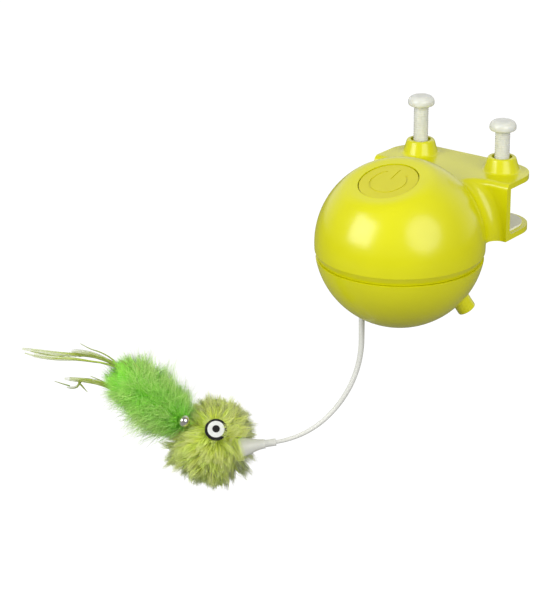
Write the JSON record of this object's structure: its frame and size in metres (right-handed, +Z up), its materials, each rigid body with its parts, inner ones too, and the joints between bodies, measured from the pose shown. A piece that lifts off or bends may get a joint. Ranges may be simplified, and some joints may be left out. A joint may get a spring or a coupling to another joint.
{
  "type": "automatic cat laser toy",
  "caption": "Ball that clamps to a shelf edge with two thumb screws; its lower half turns, carrying a laser nozzle and a swing arm with a plush and feather lure.",
  "frame": {"origin": "centre of the pad's top face on the lower jaw, where the underside of a shelf rests", "axes": "+Z up, square to the pad; +Y from the ball towards the shelf, square to the clamp's inner web face"},
  "size_m": [0.2039, 0.1943, 0.1995],
  "materials": {
    "shell": "glossy moulded ABS, lime yellow",
    "pad": "matt soft pad, pale grey",
    "nylon": "translucent white nylon",
    "foot": "soft foot, pale grey",
    "button": "satin, olive yellow",
    "inner_dark": "black moulding",
    "inner_white": "white moulding",
    "board": "green circuit board",
    "steel": "zinc plated",
    "contact_metal": "nickel plated",
    "brass": "plain",
    "cell": "plain sleeve",
    "gear": "natural acetal",
    "motor_can": "drawn can",
    "lens": "clear acrylic",
    "arm": "white flexible rod",
    "cup": "white cup",
    "plush": "long pile, yellow green",
    "felt_black": "felt",
    "felt_white": "felt",
    "bell": "polished nickel",
    "binding": "wound thread",
    "tuft": "down feathers, bright green",
    "strands": "long feather blades, lime"
  },
  "bodies": {
    "housing": {"upper_shell": "shell", "jaw_pad": "pad", "switch_body": "inner_dark", "circuit_board": "board", "board_parts": "inner_dark", "board_screws": "steel", "battery_box": "inner_dark", "battery_box_screws": "steel", "battery_cells": "cell", "box_spring": "steel", "box_contacts": "contact_metal", "chassis_plate": "inner_white", "housing_screws": "steel", "shaft_bush": "inner_white", "gear_axles": "steel", "motor": "motor_can", "gearbox_cover": "inner_white", "gearbox_screws": "steel", "contact_fingers": "brass"},
    "button": {"power_button": "button", "switch_plunger": "inner_dark"},
    "door": {"battery_door": "shell", "door_screw": "steel", "door_contact": "contact_metal", "door_spring": "steel"},
    "left_foot": {"left_screw_tip": "foot"},
    "left_screw": {"left_clamp_screw": "nylon"},
    "right_foot": {"right_screw_tip": "foot"},
    "right_screw": {"right_clamp_screw": "nylon"},
    "rotor": {"lower_shell": "shell", "rotor_plate": "inner_white", "rotor_screws": "steel", "hub_screw": "steel", "slip_rings": "brass", "output_gear": "gear", "laser_module": "brass", "laser_lens": "lens", "arm_retainer": "inner_white", "swing_arm": "arm", "arm_ferrule": "arm", "plush_cup": "cup", "plush_body": "plush", "eye_patches": "felt_black", "eye_whites": "felt_white", "eye_pupils": "felt_black", "jingle_bell": "bell", "feather_binding": "binding", "feather_tuft": "tuft", "long_feathers": "strands"},
    "second_gear_body": {"second_gear": "gear"},
    "first_gear_body": {"first_gear": "gear"},
    "motor_rotor": {"motor_shaft": "steel", "motor_pinion": "brass"},
    "pea": {"bell_pea": "steel"}
  },
  "joints": [
    {"name": "button_press", "type": "slide", "parent": "housing", "child": "button", "axis": [0, 0.2924, -0.9563], "range_m": [0, 0.0015], "stiffness_N_per_m": 600, "springref_m": -0.002},
    {"name": "door_off", "type": "slide", "parent": "housing", "child": "door", "axis": [-1, 0, 0], "range_m": [0, 0.025]},
    {"name": "left_foot_travel", "type": "slide", "parent": "housing", "child": "left_foot", "axis": [0, 0, -1], "range_m": [-0.005, 0.019]},
    {"name": "left_screw_turn", "type": "hinge", "parent": "left_foot", "child": "left_screw", "pos_m": [-0.026, 0.00175, 0.03], "axis": [0, 0, -1], "range_deg": [-1441, 5473]},
    {"name": "right_foot_travel", "type": "slide", "parent": "housing", "child": "right_foot", "axis": [0, 0, -1], "range_m": [-0.009, 0.0145]},
    {"name": "right_screw_turn", "type": "hinge", "parent": "right_foot", "child": "right_screw", "pos_m": [0.026, 0.00175, 0.03], "axis": [0, 0, -1], "range_deg": [-2593, 4177]},
    {"name": "rotor_spin", "type": "hinge", "parent": "housing", "child": "rotor", "pos_m": [0, -0.05505, -0.0026], "axis": [0, 0, 1], "continuous": true},
    {"name": "second_gear_spin", "type": "hinge", "parent": "housing", "child": "second_gear_body", "pos_m": [0.01559, -0.06405, -0.0026], "axis": [0, 0, 1], "continuous": true},
    {"name": "first_gear_spin", "type": "hinge", "parent": "housing", "child": "first_gear_body", "pos_m": [0.00949, -0.07775, -0.0026], "axis": [0, 0, 1], "continuous": true},
    {"name": "motor_spin", "type": "hinge", "parent": "housing", "child": "motor_rotor", "pos_m": [-0.00461, -0.08288, -0.0026], "axis": [0, 0, 1], "continuous": true},
    {"name": "pea_rattle", "type": "slide", "parent": "rotor", "child": "pea", "axis": [0, 0, 1], "range_m": [0, 0.0027]}
  ],
  "couplings": [
    {"joint": "left_screw_turn", "follows": "left_foot_travel", "rad_per_m": 5026.5},
    {"joint": "right_screw_turn", "follows": "right_foot_travel", "rad_per_m": 5026.5},
    {"joint": "second_gear_spin", "follows": "rotor_spin", "ratio": -5},
    {"joint": "first_gear_spin", "follows": "rotor_spin", "ratio": 20},
    {"joint": "motor_spin", "follows": "rotor_spin", "ratio": -80}
  ]
}
